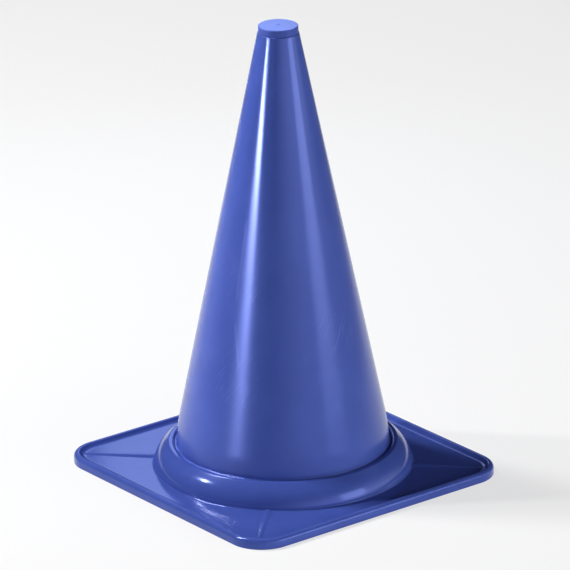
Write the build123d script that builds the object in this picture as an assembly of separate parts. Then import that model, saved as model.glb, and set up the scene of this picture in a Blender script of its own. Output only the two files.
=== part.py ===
from build123d import *
from math import asin, atan2, cos, degrees, radians, sqrt, tan
import os

# A sports marker cone made of three thin mouldings: the hollow cone, the square base whose collar
# holds the cone's foot, and the cap that closes the cone's top. Sizes are in millimetres, +Z is up,
# and the origin is on the ground under the cone's axis.

# Overall sizes
overall_height = 300.0
base_side = 206.5
corner_radius = 23.0

# Plate of the base, and the rim round it
plate_top = 4.1
base_wall = 2.0
rim_height = 6.6
rim_width = 3.6
rim_outer_round = 2.6
rim_inner_slope = 44.0
rim_inner_round = 1.6

# Collar of the base, a hollow ring with an elliptical side and a rounded lip round the cone's foot
collar_height = 19.6
collar_spread = 11.5
collar_lip_round = 2.2
collar_foot_chamfer = 1.2
collar_bore_bottom = 9.0

# Ribs from the collar to the four corners of the rim
rib_count = 4
rib_root_width = 5.2
rib_root_height = 0.9
rib_tip_width = 2.8
rib_tip_height = 0.45
rib_crown_share = 0.4

# Cone, with an upright foot below its straight taper, which steps out into a plug inside the collar
cone_top_radius = 13.25
cone_wall = 2.0
foot_radius = 68.5
foot_top = 27.1
foot_bend_radius = 30.0
plug_step = 1.4
plug_top = 18.4
plug_step_chamfer = 1.0
flange_reach = 4.0
flange_thickness = 2.0

# Snap bead on the cone's plug, which sits in a groove in the collar's bore
bead_height = 0.5
bead_length = 2.4
bead_level = 13.0

# Cap, a hollow plug with a flat head
cap_head_height = 4.7
cap_radius = 12.9
cap_draft = 0.2
cap_edge_chamfer = 0.5
cap_wall = 1.8
spigot_length = 8.0
spigot_bead_height = 0.7
spigot_bead_length = 2.0
gate_mark_radius = 1.4
gate_mark_depth = 0.4

# Clearance of each plug in its bore, on the radius
fit_clearance = 0.3

# Levels and radii that follow from the sizes above
cone_top = overall_height - cap_head_height
plate_bottom = plate_top - base_wall
half_angle = atan2(foot_radius - cone_top_radius, cone_top - foot_top)
mouth_radius = cone_top_radius - cone_wall / cos(half_angle)
plug_radius = foot_radius + plug_step
bore_radius = plug_radius + fit_clearance
collar_crown_radius = bore_radius + collar_lip_round
collar_foot_radius = collar_crown_radius + collar_spread * sqrt(1 - (plate_top / collar_height) ** 2)
spigot_radius = mouth_radius - fit_clearance


def turned(outline):
    """Turn a closed outline, drawn as radius and height, round the cone's axis."""
    return revolve(Plane.XZ * make_face(outline), Axis.Z)


def bead(radius, level, height, length):
    """Outline points of a snap bead, from its lower end to its upper end, on a wall of the given radius."""
    return [(radius, level - length / 2), (radius + height, level), (radius, level + length / 2)]


def cone_body():
    """Tapered shell, open at both ends, with the upright foot, the plug's snap bead and the flange below it."""
    inner_radius = foot_radius - cone_wall
    inner_foot_top = foot_top - cone_wall * tan(half_angle / 2)
    flange_bottom = collar_bore_bottom - flange_thickness
    flange_radius = plug_radius + flange_reach
    foot = [
        (inner_radius, inner_foot_top),
        (inner_radius, flange_bottom),
        (flange_radius, flange_bottom),
        (flange_radius, collar_bore_bottom),
        (plug_radius, collar_bore_bottom),
        *bead(plug_radius, bead_level, bead_height, bead_length),
        (plug_radius, plug_top),
        (foot_radius + plug_step_chamfer, plug_top),
        (foot_radius, plug_top + plug_step_chamfer),
    ]
    wall = [(foot_radius, foot_top), (cone_top_radius, cone_top), (mouth_radius, cone_top)]
    rounds = [0] * len(foot) + [foot_bend_radius, 0, 0]
    return turned(FilletPolyline(foot + wall, radius=rounds, close=True))


def tray():
    """Square plate with a rounded rim, which is also the skirt that it stands on."""
    inner_side = base_side - 2 * rim_width
    plate_side = inner_side - 2 * (rim_height - plate_top) * tan(radians(rim_inner_slope))
    plate_corner = corner_radius - (base_side - plate_side) / 2
    block = extrude(RectangleRounded(base_side, base_side, corner_radius), rim_height)
    block = fillet(block.edges().group_by(Axis.Z)[-1], rim_outer_round)
    floor = RectangleRounded(plate_side, plate_side, plate_corner)
    pocket = Pos(0, 0, plate_top) * extrude(floor, rim_height, taper=-rim_inner_slope)
    pocket = fillet(pocket.edges().group_by(Axis.Z)[0], rim_inner_round)
    shell = block - pocket
    mouth = new_edges(block, pocket, combined=shell).group_by(Axis.Z)[-1]
    shell = fillet(mouth, rim_inner_round)
    return shell - extrude(RectangleRounded(inner_side, inner_side, corner_radius - rim_width), plate_bottom)


def collar():
    """Hollow ring: elliptical side, rounded lip, grooved bore and a strip of the plate round its foot."""
    foot_top = plate_top + collar_foot_chamfer
    start = degrees(asin(foot_top / collar_height))
    side = EllipticalCenterArc(
        (collar_crown_radius, 0), collar_spread, collar_height, start_angle=start, arc_size=90 - start
    )
    lip_bottom = collar_height - collar_lip_round
    lip = CenterArc((collar_crown_radius, lip_bottom), collar_lip_round, 90, 90)
    hollow_top = collar_height - base_wall
    hollow_radius = collar_foot_radius - base_wall
    strip_radius = collar_foot_radius + 2 * collar_foot_chamfer
    inside = Polyline(
        (bore_radius, lip_bottom),
        *reversed(bead(bore_radius, bead_level, bead_height, bead_length)),
        (bore_radius, collar_bore_bottom),
        (bore_radius + base_wall, collar_bore_bottom),
        (bore_radius + base_wall, hollow_top),
        (collar_crown_radius + base_wall, hollow_top),
        (hollow_radius - base_wall, (hollow_top + plate_top) / 2),
        (hollow_radius, plate_bottom),
        (strip_radius, plate_bottom),
        (strip_radius, plate_top),
        (collar_foot_radius + collar_foot_chamfer, plate_top),
        side @ 0,
    )
    return turned([side, lip, inside])


def rib_section(width, height):
    """Rib's cross-section, a low ridge with sloping sides, on a foot sunk half into the plate's wall."""
    side = width / 2
    crown = side * rib_crown_share
    sink = base_wall / 2
    half = [(crown, height), (side, 0), (side, -sink)]
    mirrored = [(-x, y) for x, y in reversed(half)]
    return make_face(Polyline(half + mirrored, close=True))


def rib():
    """Rib along +X that narrows and sinks from the collar's side to the rim's corner."""
    start = collar_foot_radius - base_wall / 2
    end = (base_side / 2 - corner_radius) * sqrt(2) + corner_radius - rim_width
    root = Plane.YZ * rib_section(rib_root_width, rib_root_height)
    tip = Plane.YZ * rib_section(rib_tip_width, rib_tip_height)
    return loft([Pos(start, 0, plate_top) * root, Pos(end, 0, plate_top) * tip])


def base_plate():
    """Tray, collar and corner ribs in one moulding."""
    hole = Cylinder(collar_foot_radius, 2 * rim_height)
    base = tray() - hole + collar()
    for number in range(rib_count):
        base += Rot(0, 0, (number + 0.5) * 360 / rib_count) * rib()
    return base


def top_cap():
    """Plug whose head sits on the cone's mouth, with a snap bead on its spigot and a gate mark on top."""
    head_radius = cap_radius - cap_draft
    spigot_end = cone_top - spigot_length
    hollow_radius = spigot_radius - cap_wall
    hollow_top = overall_height - cap_wall
    spigot = bead(spigot_radius, spigot_end + spigot_bead_length / 2, spigot_bead_height, spigot_bead_length)
    outline = Polyline(
        (0, hollow_top),
        (hollow_radius, hollow_top),
        (hollow_radius, spigot_end),
        *spigot,
        (spigot_radius, cone_top),
        (cap_radius, cone_top),
        (head_radius, overall_height - cap_edge_chamfer),
        (head_radius - cap_edge_chamfer, overall_height),
        (gate_mark_radius, overall_height),
        (0, overall_height - gate_mark_depth),
        close=True,
    )
    return turned(outline)


os.makedirs("parts", exist_ok=True)
export_step(cone_body(), "parts/cone_body.step")
export_step(base_plate(), "parts/base_plate.step")
export_step(top_cap(), "parts/top_cap.step")
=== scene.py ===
from math import acos, atan2, cos, hypot, pi, radians, sin, sqrt, tan

import bmesh
import bpy
from mathutils import Matrix, Vector


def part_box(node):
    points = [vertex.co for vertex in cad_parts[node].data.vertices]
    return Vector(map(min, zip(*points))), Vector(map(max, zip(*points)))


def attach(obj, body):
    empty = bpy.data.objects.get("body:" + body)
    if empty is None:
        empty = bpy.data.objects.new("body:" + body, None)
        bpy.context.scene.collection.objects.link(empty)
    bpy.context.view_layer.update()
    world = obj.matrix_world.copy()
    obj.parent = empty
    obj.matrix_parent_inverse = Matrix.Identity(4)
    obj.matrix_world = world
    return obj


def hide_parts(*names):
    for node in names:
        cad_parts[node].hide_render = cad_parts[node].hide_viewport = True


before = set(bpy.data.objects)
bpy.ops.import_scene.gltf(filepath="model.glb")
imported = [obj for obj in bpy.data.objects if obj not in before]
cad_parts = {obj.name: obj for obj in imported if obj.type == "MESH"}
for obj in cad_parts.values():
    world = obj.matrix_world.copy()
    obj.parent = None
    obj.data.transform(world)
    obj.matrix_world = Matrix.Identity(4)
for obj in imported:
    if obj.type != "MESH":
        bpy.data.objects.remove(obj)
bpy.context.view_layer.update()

# Looks of the sports marker cone: three smooth mouldings of glossy blue plastic that stand for the three
# CAD solids, on a pale floor under studio lamps, seen from the photograph's angle. Sizes are in metres.

cone_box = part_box("cone_body")
base_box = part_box("base_plate")
cap_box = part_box("top_cap")

# Base: plate, rim and collar
half_side = base_box[1].x
corner_radius = 0.023
plate_top = 0.0041
base_wall = 0.002
rim_height = 0.0066
rim_width = 0.0036
rim_outer_round = 0.0026
rim_inner_slope = radians(44)
rim_inner_round = 0.0022
rim_foot_round = 0.005
collar_height = base_box[1].z
collar_foot_radius = 0.08365
collar_foot_round = 0.0012
collar_shoulder_radius = 0.0820
collar_shoulder_height = 0.0131
collar_shoulder_round = 0.019
collar_crest_radius = 0.0740
collar_crest_round = 0.0016
collar_lip_round = 0.0016
collar_bore_bottom = 0.009

# Ribs from the collar to the corners of the rim
rib_root_width = 0.0074
rib_root_height = 0.0011
rib_tip_width = 0.0036
rib_tip_height = 0.0005

# Cone and its foot, which steps out into a plug below the collar's lip
cone_top = cone_box[1].z
cone_top_radius = 0.01325
cone_wall = 0.002
foot_radius = 0.0685
foot_top = 0.0271
foot_bend_radius = 0.06
plug_step = 0.0014
plug_top = 0.0184
plug_step_round = 0.0012
flange_radius = cone_box[1].x
flange_bottom = cone_box[0].z
fit_clearance = 0.0003

# Cap
cap_top = cap_box[1].z
cap_bottom = cap_box[0].z
cap_radius = 0.0129
cap_head_radius = 0.0127
cap_edge_round = 0.0007
cap_wall = 0.0018
cap_hollow_round = 0.001
gate_mark_radius = 0.0014
gate_mark_floor_radius = 0.0007
gate_mark_depth = 0.0004
gate_mark_round = 0.0003

# Rounds on edges that are small or hidden
edge_round = 0.0004
mouth_round = 0.0003
sharp_round = 0.0002
skirt_inner_round = 0.0003
skirt_outer_round = 0.0005
collar_hollow_round = 0.006
collar_hollow_foot_round = 0.001

# Meshes: their steps, the angle above which an edge stays sharp, and how near points are joined
turn_steps = 288
arc_step = radians(7)
side_steps = 40
corner_steps = 12
rib_steps = 12
plate_steps = 12
sharp_angle = radians(35)
weld_distance = 1e-6

# Levels, radii and the cone's half angle that follow from the sizes above
plate_bottom = plate_top - base_wall
strip_radius = collar_foot_radius + 2 * collar_foot_round
half_angle = atan2(foot_radius - cone_top_radius, cone_top - foot_top)
mouth_radius = cone_top_radius - cone_wall / cos(half_angle)
bore_radius = foot_radius + plug_step + fit_clearance
spigot_radius = mouth_radius - fit_clearance


def rounded(corners):
    """Closed outline through corners (radius, height, round), with each round as an arc of short steps."""
    outline = []
    for before, corner, after in zip(corners[-1:] + corners[:-1], corners, corners[1:] + corners[:1]):
        middle = Vector(corner[:2])
        if not corner[2]:
            outline.append(middle)
            continue
        to_before = (Vector(before[:2]) - middle).normalized()
        to_after = (Vector(after[:2]) - middle).normalized()
        opening = acos(max(-1, min(1, to_before.dot(to_after))))
        centre = middle + (to_before + to_after).normalized() * corner[2] / sin(opening / 2)
        start = middle + to_before * corner[2] / tan(opening / 2) - centre
        end = middle + to_after * corner[2] / tan(opening / 2) - centre
        steps = max(2, round((pi - opening) / arc_step))
        sweep = -start.angle_signed(end)
        outline += [centre + Matrix.Rotation(sweep * step / steps, 2) @ start for step in range(steps + 1)]
    return [(point.x, point.y) for point in outline]


def skin(name, lines):
    """Closed smooth mesh through closed lines of points that follow one another round the axis."""
    rows = len(lines[0])
    faces = []
    for here in range(len(lines)):
        there = (here + 1) % len(lines)
        for row in range(rows):
            after = (row + 1) % rows
            corners = (here, row), (there, row), (there, after), (here, after)
            faces.append([line * rows + place for line, place in corners])
    mesh = bpy.data.meshes.new(name)
    mesh.from_pydata([point for line in lines for point in line], [], faces)
    work = bmesh.new()
    work.from_mesh(mesh)
    bmesh.ops.remove_doubles(work, verts=work.verts, dist=weld_distance)
    bmesh.ops.recalc_face_normals(work, faces=work.faces)
    work.to_mesh(mesh)
    work.free()
    mesh.shade_smooth()
    mesh.set_sharp_from_angle(angle=sharp_angle)
    piece = bpy.data.objects.new(name, mesh)
    bpy.context.scene.collection.objects.link(piece)
    piece.modifiers.new("even_shading", "WEIGHTED_NORMAL").keep_sharp = True
    return piece


def turned(name, corners):
    """Smooth piece made by turning an outline round the axis."""
    outline = rounded(corners)
    angles = [2 * pi * step / turn_steps for step in range(turn_steps)]
    return skin(name, [[(r * cos(a), r * sin(a), z) for r, z in outline] for a in angles])


def cone_body():
    """Tapered shell with its upright foot and, inside the collar, its plug."""
    inner_radius = foot_radius - cone_wall
    inner_foot_top = foot_top - cone_wall * tan(half_angle / 2)
    plug_radius = foot_radius + plug_step
    return turned("cone_shell", [
        (inner_radius, inner_foot_top, foot_bend_radius),
        (inner_radius, flange_bottom, edge_round),
        (flange_radius, flange_bottom, edge_round),
        (flange_radius, collar_bore_bottom, sharp_round),
        (plug_radius, collar_bore_bottom, 0),
        (plug_radius, plug_top, 0),
        (foot_radius, plug_top, plug_step_round),
        (foot_radius, foot_top, foot_bend_radius),
        (cone_top_radius, cone_top, edge_round),
        (mouth_radius, cone_top, mouth_round),
    ])


def top_cap():
    """Plug with a flat head, a soft edge and a small gate mark in the middle."""
    hollow_radius = spigot_radius - cap_wall
    return turned("cap_plug", [
        (0, cap_top - cap_wall, 0),
        (hollow_radius, cap_top - cap_wall, cap_hollow_round),
        (hollow_radius, cap_bottom, 0),
        (spigot_radius, cap_bottom, edge_round),
        (spigot_radius, cone_top, 0),
        (cap_radius, cone_top, sharp_round),
        (cap_head_radius, cap_top, cap_edge_round),
        (gate_mark_radius, cap_top, gate_mark_round),
        (gate_mark_floor_radius, cap_top - gate_mark_depth, gate_mark_round),
        (0, cap_top - gate_mark_depth, 0),
    ])


def square_point(angle, inset):
    """Point of the base's rounded square outline, moved in by inset, in the direction of angle."""
    quarter = pi / 2
    turn = (angle + quarter / 2) // quarter * quarter
    local = angle - turn
    side = half_side - inset
    across = side * tan(local)
    straight = half_side - corner_radius
    if abs(across) > straight:
        middle = Vector((straight, straight if local > 0 else -straight))
        way = Vector((cos(local), sin(local)))
        along = middle.dot(way)
        reach = along + sqrt((corner_radius - inset) ** 2 - middle.length_squared + along ** 2)
        x, y = way * reach
    else:
        x, y = side, across
    return Vector((x * cos(turn) - y * sin(turn), x * sin(turn) + y * cos(turn)))


def base_lines():
    """Lines from collar to rim, as (angle at the collar, angle at the rim, share of the rib's height)."""
    rib_end = square_point(pi / 4, 0).length
    root_edge = rib_root_width / 2 / collar_foot_radius
    tip_edge = rib_tip_width / 2 / rib_end
    side_end = atan2(half_side - corner_radius, half_side)
    octant = []
    for step in range(side_steps):
        angle = side_end * step / side_steps
        octant.append((angle, angle, 0))
    for step in range(corner_steps):
        share = step / corner_steps
        octant.append((
            side_end + (pi / 4 - root_edge - side_end) * share,
            side_end + (pi / 4 - tip_edge - side_end) * share,
            0,
        ))
    for step in range(rib_steps):
        share = step / rib_steps
        octant.append((
            pi / 4 - root_edge * (1 - share),
            pi / 4 - tip_edge * (1 - share),
            (1 - cos(pi * share)) / 2,
        ))
    octant.append((pi / 4, pi / 4, 1))
    mirrored = [(pi / 2 - start, pi / 2 - end, rib) for start, end, rib in octant[-2:0:-1]]
    quarter = octant + mirrored
    return [
        (start + turn * pi / 2, end + turn * pi / 2, rib)
        for turn in range(4)
        for start, end, rib in quarter
    ]


def collar_outline():
    """Collar from the plate's top over its crest, down the bore and inside to the plate's underside."""
    return rounded([
        (strip_radius, plate_top, 0),
        (collar_foot_radius, plate_top, collar_foot_round),
        (collar_shoulder_radius, collar_shoulder_height, collar_shoulder_round),
        (collar_crest_radius, collar_height, collar_crest_round),
        (bore_radius, collar_height, collar_lip_round),
        (bore_radius, collar_bore_bottom, mouth_round),
        (bore_radius + base_wall, collar_bore_bottom, mouth_round),
        (bore_radius + base_wall, collar_height - base_wall, 0),
        (collar_crest_radius, collar_height - base_wall, 0),
        (collar_shoulder_radius - base_wall, collar_shoulder_height - base_wall, collar_hollow_round),
        (collar_foot_radius - base_wall, plate_bottom, collar_hollow_foot_round),
        (strip_radius, plate_bottom, 0),
    ])


def rim_outline():
    """Rim from the plate's underside round to its top, as (inset from the base's outline, height)."""
    plate_inset = rim_width + (rim_height - plate_top) * tan(rim_inner_slope)
    return rounded([
        (rim_width, plate_bottom, 0),
        (rim_width, 0, skirt_inner_round),
        (0, 0, skirt_outer_round),
        (0, rim_height, rim_outer_round),
        (rim_width, rim_height, rim_inner_round),
        (plate_inset, plate_top, rim_foot_round),
        (plate_inset + rim_foot_round, plate_top, 0),
    ])


def raised(point, share):
    """Point lifted to the rib's top where it lies lower, on the upper face outside the collar's crest."""
    x, y, z = point
    distance = hypot(x, y)
    if share == 0 or z < plate_top or distance < collar_crest_radius:
        return point
    run = (distance - collar_foot_radius) / (half_side * sqrt(2) - collar_foot_radius)
    height = rib_root_height + (rib_tip_height - rib_root_height) * max(0, run)
    return x, y, max(z, plate_top + height * share)


def base_plate():
    """Plate with its rim, its collar and four tapered ribs, as one closed skin."""
    collar = collar_outline()
    rim = rim_outline()
    lines = []
    for start, end, rib in base_lines():
        inner = Vector((cos(start), sin(start)))
        root = inner * strip_radius
        tip_top = square_point(end, rim[-1][0])
        tip_under = square_point(end, rim_width)
        line = [(inner.x * r, inner.y * r, z) for r, z in collar]
        for step in range(1, plate_steps):
            point = root.lerp(tip_under, step / plate_steps)
            line.append((point.x, point.y, plate_bottom))
        for inset, height in rim:
            point = square_point(end, inset)
            line.append((point.x, point.y, height))
        for step in range(1, plate_steps):
            point = tip_top.lerp(root, step / plate_steps)
            line.append((point.x, point.y, plate_top))
        lines.append([raised(point, rib) for point in line])
    return skin("base_moulding", lines)


# Plastic: its blue, a deeper and a scuffed tone of it, and the look of its gloss
blue = (0.057, 0.096, 0.40, 1)
deep_blue = (0.052, 0.088, 0.375, 1)
scuffed_blue = (0.095, 0.145, 0.50, 1)
gloss_tint = (0.30, 0.38, 1, 1)
gloss_level = 0.6
scuffed_roughness = 0.3

# Plastic: widths of its lumps, heights of its relief, and how far scuffs and marks wear it
tone_size = 0.03
scuff_size = 0.022
swell_size = 0.03
swell_height = 0.00003
peel_size = 0.0022
peel_height = 0.000003
mark_height = 0.00002
scuff_share = 0.15
mark_share = 0.55

# Levels between which the gloss goes from new, above, to handled, below
new_above = 0.25
handled_below = 0.15

# Marks: strokes of the hatch, the full core of its patches, and how strongly scratches show on the plate
hatch_length = 0.014
hatch_width = 0.0009
hatch_lean = 0.55
hatch_rise = 0.83
patch_core_share = 0.3
scratch_width = 0.0022
plate_scratch_share = 0.2

# Rubbing on the rim's crest: how far below the crest it starts, and how far above it fades and ends
rub_start_below = 0.0006
rub_fade_above = 0.0002
rub_end_above = 0.0008

# Marks on the cone, as (angle round the axis in degrees, height): patches of fine scratches with their
# radius, and single scratches from end to end
hatched_patches = [
    ((-74, 0.138), 0.026),
    ((-70, 0.080), 0.028),
    ((5, 0.108), 0.024),
    ((62, 0.190), 0.028),
    ((118, 0.085), 0.034),
    ((-172, 0.140), 0.030),
]
single_scratches = [
    ((-73.8, 0.1796), (-75.3, 0.1299)),
    ((-73.8, 0.1143), (-68.2, 0.0899)),
    ((100, 0.160), (106, 0.122)),
    ((-150, 0.070), (-146, 0.098)),
]


def node(tree, kind, settings, inputs):
    """Output of a new shader node; each input is a value or another node's output."""
    made = tree.nodes.new("ShaderNode" + kind)
    for name, value in settings.items():
        setattr(made, name, value)
    usable = [socket for socket in made.inputs if socket.enabled]
    for name, value in inputs.items():
        socket = usable[name] if isinstance(name, int) else next(s for s in usable if s.name == name)
        if isinstance(value, bpy.types.NodeSocket):
            tree.links.new(value, socket)
        else:
            socket.default_value = value
    return next(output for output in made.outputs if output.enabled)


def calc(tree, operation, first, second):
    """Result of a sum on two numbers or outputs, kept between 0 and 1."""
    return node(tree, "Math", {"operation": operation, "use_clamp": True}, {0: first, 1: second})


def rise(tree, value, low, high):
    """Smooth rise from 0 to 1 as a value goes from low to high."""
    settings = {"interpolation_type": "SMOOTHSTEP"}
    return node(tree, "MapRange", settings, {"Value": value, "From Min": low, "From Max": high})


def noise(tree, place, size, detail=2):
    """Soft noise whose lumps are about as wide as size."""
    return node(tree, "TexNoise", {}, {"Vector": place, "Scale": 1 / size, "Detail": detail})


def scratches(tree, place, along, across, length, width):
    """Fine lines that run in one direction, from noise that is drawn out along it."""
    along = Vector(along).normalized()
    out = along.cross(Vector(across)).normalized()
    turn = Matrix((along, out.cross(along), out)).transposed().to_euler()
    stretched = node(tree, "Mapping", {"vector_type": "TEXTURE"}, {
        "Vector": place, "Rotation": turn, "Scale": (length, width, length / 2)})
    return rise(tree, noise(tree, stretched, size=1, detail=3), low=0.54, high=0.70)


def on_cone(angle, height):
    """Point on the cone's outside."""
    radius = foot_radius - (height - foot_top) * tan(half_angle)
    return Vector((radius * cos(radians(angle)), radius * sin(radians(angle)), height))


def near_point(tree, place, point, radius):
    """1 round a point, fading to 0 at a radius from it."""
    distance = node(tree, "VectorMath", {"operation": "DISTANCE"}, {0: place, 1: point})
    return rise(tree, distance, low=radius, high=radius * patch_core_share)


def near_line(tree, place, start, end, width):
    """1 on the line between two points, fading to 0 at half a width from it."""
    reach = end - start
    offset = node(tree, "VectorMath", {"operation": "SUBTRACT"}, {0: place, 1: start})
    scaled = reach / reach.length_squared
    run = node(tree, "VectorMath", {"operation": "DOT_PRODUCT"}, {0: offset, 1: scaled})
    share = calc(tree, "ADD", run, 0)
    foot = node(tree, "VectorMath", {"operation": "SCALE"}, {0: reach, "Scale": share})
    distance = node(tree, "VectorMath", {"operation": "DISTANCE"}, {0: offset, 1: foot})
    return rise(tree, distance, low=width / 2, high=0)


def cone_marks(tree, place):
    """Patches of slanting hatch and single scratches, as handling leaves them on the cone's side."""
    marks = 0
    for (angle, height), radius in hatched_patches:
        point = on_cone(angle, height)
        level = Vector((-sin(radians(angle)), cos(radians(angle)), 0))
        stroke = level * hatch_lean + Vector((0, 0, hatch_rise))
        lines = scratches(tree, place, stroke, level, hatch_length, hatch_width)
        patch = calc(tree, "MULTIPLY", lines, near_point(tree, place, point, radius))
        marks = calc(tree, "MAXIMUM", patch, marks)
    for start, end in single_scratches:
        line = near_line(tree, place, on_cone(*start), on_cone(*end), scratch_width)
        marks = calc(tree, "MAXIMUM", line, marks)
    return marks


def base_marks(tree, place):
    """Crossing scratches on the plate and a worn, rubbed crest on the rim."""
    lines = scratches(tree, place, along=(1, 0.3, 0), across=(0, 1, 0), length=0.03, width=0.0006)
    crossing = scratches(tree, place, along=(-0.4, 1, 0), across=(1, 0, 0), length=0.022, width=0.0005)
    rubbed = rise(tree, noise(tree, place, size=0.02, detail=4), low=0.5, high=0.7)
    lines = calc(tree, "MULTIPLY", calc(tree, "MAXIMUM", lines, crossing), rubbed)
    height = node(tree, "SeparateXYZ", {}, {"Vector": place}).node.outputs["Z"]
    above = rise(tree, height, low=rim_height - rub_start_below, high=rim_height)
    below = rise(tree, height, low=rim_height + rub_end_above, high=rim_height + rub_fade_above)
    crest = calc(tree, "MULTIPLY", above, below)
    crest = calc(tree, "MULTIPLY", crest, noise(tree, place, size=0.004, detail=4))
    return calc(tree, "MAXIMUM", calc(tree, "MULTIPLY", lines, plate_scratch_share), crest)


def cap_marks(tree, place):
    """Rub marks across the cap's flat top."""
    lines = scratches(tree, place, along=(1, -0.5, 0), across=(0, 1, 0), length=0.008, width=0.0005)
    return calc(tree, "MULTIPLY", lines, rise(tree, noise(tree, place, size=0.006), low=0.45, high=0.65))


def bump(tree, height, distance, below):
    """Normal of a surface raised by height times distance, on top of the relief below it."""
    return node(tree, "Bump", {}, {"Height": height, "Distance": distance, "Strength": 1, **below})


def plastic(name, add_marks, new_roughness, handled_roughness, relief_share):
    """Glossy blue moulded plastic with uneven tone, a faint orange peel, scuffs and a piece's own marks."""
    material = bpy.data.materials.new(name)
    material.use_nodes = True
    tree = material.node_tree
    shader = tree.nodes["Principled BSDF"]
    place = tree.nodes.new("ShaderNodeTexCoord").outputs["Object"]
    marks = add_marks(tree, place)
    scuffs = rise(tree, noise(tree, place, scuff_size, detail=6), low=0.56, high=0.72)
    lightness = rise(tree, noise(tree, place, tone_size, detail=3), low=0.35, high=0.65)
    tone = node(tree, "Mix", {"data_type": "RGBA"}, {"Factor": lightness, "A": deep_blue, "B": blue})
    scuffed = calc(tree, "MULTIPLY", scuffs, scuff_share)
    worn = calc(tree, "MAXIMUM", scuffed, calc(tree, "MULTIPLY", marks, mark_share))
    colour = node(tree, "Mix", {"data_type": "RGBA"}, {"Factor": worn, "A": tone, "B": scuffed_blue})
    height = node(tree, "SeparateXYZ", {}, {"Vector": place}).node.outputs["Z"]
    handled = rise(tree, height, low=new_above, high=handled_below)
    clean = node(tree, "MapRange", {}, {
        "Value": handled, "To Min": new_roughness, "To Max": handled_roughness})
    roughness = node(tree, "MapRange", {}, {"Value": worn, "To Min": clean, "To Max": scuffed_roughness})
    swell = bump(tree, noise(tree, place, swell_size, detail=1), swell_height * relief_share, {})
    peel = bump(tree, noise(tree, place, peel_size), peel_height * relief_share, {"Normal": swell})
    relief = bump(tree, marks, mark_height * relief_share, {"Normal": peel})
    tree.links.new(colour, shader.inputs["Base Color"])
    tree.links.new(roughness, shader.inputs["Roughness"])
    tree.links.new(relief, shader.inputs["Normal"])
    shader.inputs["Specular IOR Level"].default_value = gloss_level
    shader.inputs["Specular Tint"].default_value = gloss_tint
    return material


def dress(piece, node_name, add_marks, new_roughness, handled_roughness, relief_share):
    """Puts a piece in the place of a CAD node, with its plastic."""
    name = piece.name + "_plastic"
    piece.data.materials.append(plastic(name, add_marks, new_roughness, handled_roughness, relief_share))
    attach(piece, "root")
    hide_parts(node_name)


# Camera, fitted to the outline of the object in the photograph
camera_azimuth = radians(51.896)
camera_elevation = radians(20.263)
camera_roll = radians(-0.660)
camera_distance = 3.5403
camera_lens = 350.9
camera_target = Vector((0, 0, 0.15))
aim_right = 0.002747
aim_down = 0.022902

# Floor: its white middle, which lies along the camera's view and fades between two multiples of its half
# sizes, and its tones
floor_size = 12
white_half_width = 0.26
white_half_length = 1.4
fade_start = 1.05
fade_end = 1.9
near_paper = (0.85, 0.85, 0.85, 1)
far_paper = (0.42, 0.42, 0.42, 1)
paper_roughness = 0.9
white_share = 0.66

# Room: where round the object it is lightest, how flat and wide that light part is, and its strengths
room_azimuth = 58
room_squash = 3
room_edge = 0.25
room_dark = 0.02
room_light = 2.6

toward_camera = Vector((sin(camera_azimuth), -cos(camera_azimuth), 0))
camera_right = Vector((cos(camera_azimuth), sin(camera_azimuth), 0))


def add_camera():
    """Camera at the photograph's place, aimed so that no lens shift is needed."""
    back = toward_camera * cos(camera_elevation) + Vector((0, 0, sin(camera_elevation)))
    level_up = back.cross(camera_right)
    right = camera_right * cos(camera_roll) + level_up * sin(camera_roll)
    up = level_up * cos(camera_roll) - camera_right * sin(camera_roll)
    eye = camera_target + back * camera_distance
    aim = camera_target + right * aim_right - up * aim_down
    back = (eye - aim).normalized()
    right = up.cross(back).normalized()
    turn = Matrix((right, back.cross(right), back)).transposed().to_4x4()
    data = bpy.data.cameras.new("photo_camera")
    data.lens = camera_lens
    camera = bpy.data.objects.new("photo_camera", data)
    camera.matrix_world = Matrix.Translation(eye) @ turn
    bpy.context.scene.collection.objects.link(camera)
    bpy.context.scene.camera = camera


def direction(azimuth, elevation):
    """Direction from the object, in degrees to the right of the camera and upward."""
    a, e = radians(azimuth), radians(elevation)
    level = toward_camera * cos(a) + camera_right * sin(a)
    return level * cos(e) + Vector((0, 0, sin(e)))


def add_lamp(name, azimuth, elevation, distance, width, height, radiance, spin=0, tint=(1, 1, 1)):
    """Soft box that faces the cone's middle, with its direction and its spin in degrees."""
    data = bpy.data.lights.new(name, "AREA")
    data.shape = "RECTANGLE"
    data.size = width
    data.size_y = height
    data.energy = radiance * pi * width * height
    data.color = tint
    lamp = bpy.data.objects.new(name, data)
    way = direction(azimuth, elevation)
    lamp.location = camera_target + way * distance
    lamp.rotation_euler = way.to_track_quat("Z", "Y").to_euler()
    lamp.rotation_euler.rotate_axis("Z", radians(spin))
    bpy.context.scene.collection.objects.link(lamp)
    return lamp


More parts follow.
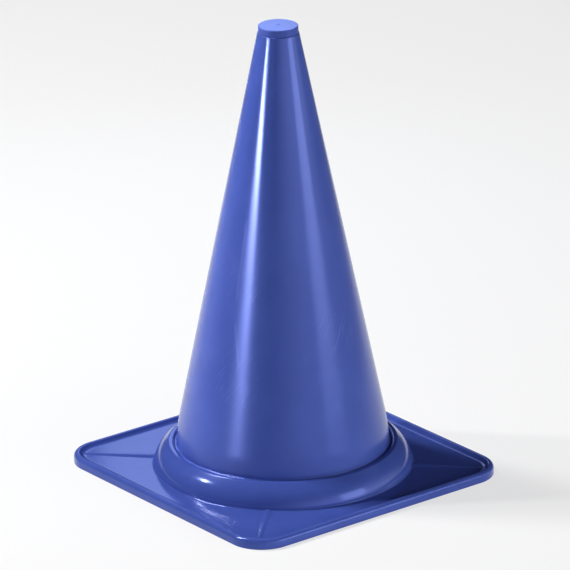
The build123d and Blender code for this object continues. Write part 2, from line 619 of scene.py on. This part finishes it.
def add_floor():
    """Pale floor, whitest round the object, where the camera and mirrors see part of it as plain white."""
    bpy.ops.mesh.primitive_plane_add(size=floor_size, rotation=(0, 0, camera_azimuth))
    floor = bpy.context.object
    floor.name = "floor"
    material = bpy.data.materials.new("floor_paper")
    material.use_nodes = True
    tree = material.node_tree
    paper = tree.nodes["Principled BSDF"]
    paper.inputs["Roughness"].default_value = paper_roughness
    place = tree.nodes.new("ShaderNodeTexCoord").outputs["Object"]
    scaled = node(tree, "VectorMath", {"operation": "MULTIPLY"}, {
        0: place, 1: (1 / white_half_width, 1 / white_half_length, 0)})
    away = node(tree, "VectorMath", {"operation": "LENGTH"}, {0: scaled})
    near = rise(tree, away, low=fade_end, high=fade_start)
    tone = node(tree, "Mix", {"data_type": "RGBA"}, {"Factor": near, "A": far_paper, "B": near_paper})
    tree.links.new(tone, paper.inputs["Base Color"])
    seen = tree.nodes.new("ShaderNodeLightPath").outputs
    mirrored = calc(tree, "ADD", seen["Is Glossy Ray"], seen["Is Transmission Ray"])
    plain = calc(tree, "MULTIPLY", calc(tree, "ADD", seen["Is Camera Ray"], mirrored), white_share)
    glow = tree.nodes.new("ShaderNodeEmission")
    mix = node(tree, "MixShader", {}, {
        0: calc(tree, "MULTIPLY", plain, near), 1: paper.outputs[0], 2: glow.outputs[0]})
    tree.links.new(mix, tree.nodes["Material Output"].inputs["Surface"])
    floor.data.materials.append(material)


def add_world():
    """Dim room, lightest low down on the right of the camera."""
    world = bpy.data.worlds.new("studio")
    bpy.context.scene.world = world
    world.use_nodes = True
    tree = world.node_tree
    place = tree.nodes.new("ShaderNodeTexCoord").outputs["Generated"]
    squashed = node(tree, "VectorMath", {"operation": "MULTIPLY"}, {0: place, 1: (1, 1, room_squash)})
    squashed = node(tree, "VectorMath", {"operation": "NORMALIZE"}, {0: squashed})
    lightest = direction(room_azimuth, 0)
    facing = node(tree, "VectorMath", {"operation": "DOT_PRODUCT"}, {0: squashed, 1: lightest})
    strength = node(tree, "MapRange", {"interpolation_type": "SMOOTHSTEP"}, {
        "Value": facing, "From Min": room_edge, "From Max": 1, "To Min": room_dark, "To Max": room_light})
    background = tree.nodes["Background"]
    background.inputs["Color"].default_value = (1, 1, 1, 1)
    tree.links.new(strength, background.inputs["Strength"])


cone = cone_body()
cap = top_cap()
dress(cone, "cone_body", cone_marks, new_roughness=0.15, handled_roughness=0.23, relief_share=1)
dress(base_plate(), "base_plate", base_marks, new_roughness=0.15, handled_roughness=0.15, relief_share=0.15)
dress(cap, "top_cap", cap_marks, new_roughness=0.17, handled_roughness=0.17, relief_share=1)
add_camera()
add_floor()
add_world()
add_lamp("lamp_left", -92, 38, distance=1.5, width=0.085, height=0.07, radiance=590)
add_lamp("lamp_behind_left", -110, 55, distance=1.5, width=0.18, height=0.34, radiance=90)
add_lamp("box_right", 62, 5, distance=1.2, width=0.5, height=0.4, radiance=4.6)
add_lamp("card_behind", -175, 23, distance=0.66, width=0.17, height=0.42, radiance=2, tint=(0.5, 0.62, 1))

# The photograph's long highlight shows on the cone but not on the base, so the two strips that make it
# light only the cone and the cap, and only as reflections
strips = [
    add_lamp("strip_left", -53.5, 3.8, distance=2.5, width=0.13, height=0.6, radiance=132, spin=78),
    add_lamp("strip_left_low", -46, -3, distance=1.2, width=0.3, height=0.16, radiance=2),
]
strip_lit = bpy.data.collections.new("strip_lit")
strip_lit.objects.link(cone)
strip_lit.objects.link(cap)
for strip in strips:
    strip.light_linking.receiver_collection = strip_lit
    strip.visible_diffuse = False
bpy.context.scene.view_settings.view_transform = "Standard"
